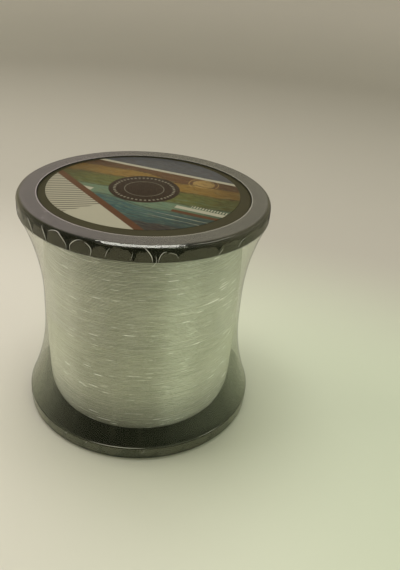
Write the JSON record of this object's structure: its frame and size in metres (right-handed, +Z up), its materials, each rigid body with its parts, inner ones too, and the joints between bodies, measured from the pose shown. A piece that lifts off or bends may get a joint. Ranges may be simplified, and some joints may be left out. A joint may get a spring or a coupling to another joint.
{
  "type": "fishing line spool",
  "caption": "Bulk spool of clear monofilament fishing line: black moulded flanges on a hollow barrel, wound line, round stickers and a shrunk clear sleeve.",
  "frame": {"origin": "centre of the underside, on the surface that the spool stands on", "axes": "+Z up the axis of the spool, from the lower flange to the upper one; +Y towards the side to which the upper sticker is mostly shifted"},
  "size_m": [0.1208, 0.1208, 0.1177],
  "materials": {
    "flange_plastic": "black injection-moulded polystyrene, semi-gloss",
    "barrel_plastic": "black moulded tube",
    "disc_plastic": "black moulded disc, satin",
    "lower_label_paper": "plain coated paper sticker",
    "upper_label_paper": null,
    "packed_line": "wound clear line, seen as one pale mass",
    "line": "clear fluorocarbon monofilament, glossy",
    "tape": "translucent adhesive tape",
    "clear_film": "clear heat-shrunk film, glossy, with fine creases over the rims"
  },
  "bodies": {
    "root": {"lower_flange": "flange_plastic", "upper_flange": "flange_plastic", "barrel": "barrel_plastic", "lower_end_disc": "disc_plastic", "upper_end_disc": "disc_plastic", "lower_label": "lower_label_paper", "upper_label": "upper_label_paper", "line_pack": "packed_line", "line_outer_layer": "line", "line_end_tape": "tape", "shrink_film": "clear_film"}
  },
  "joints": []
}
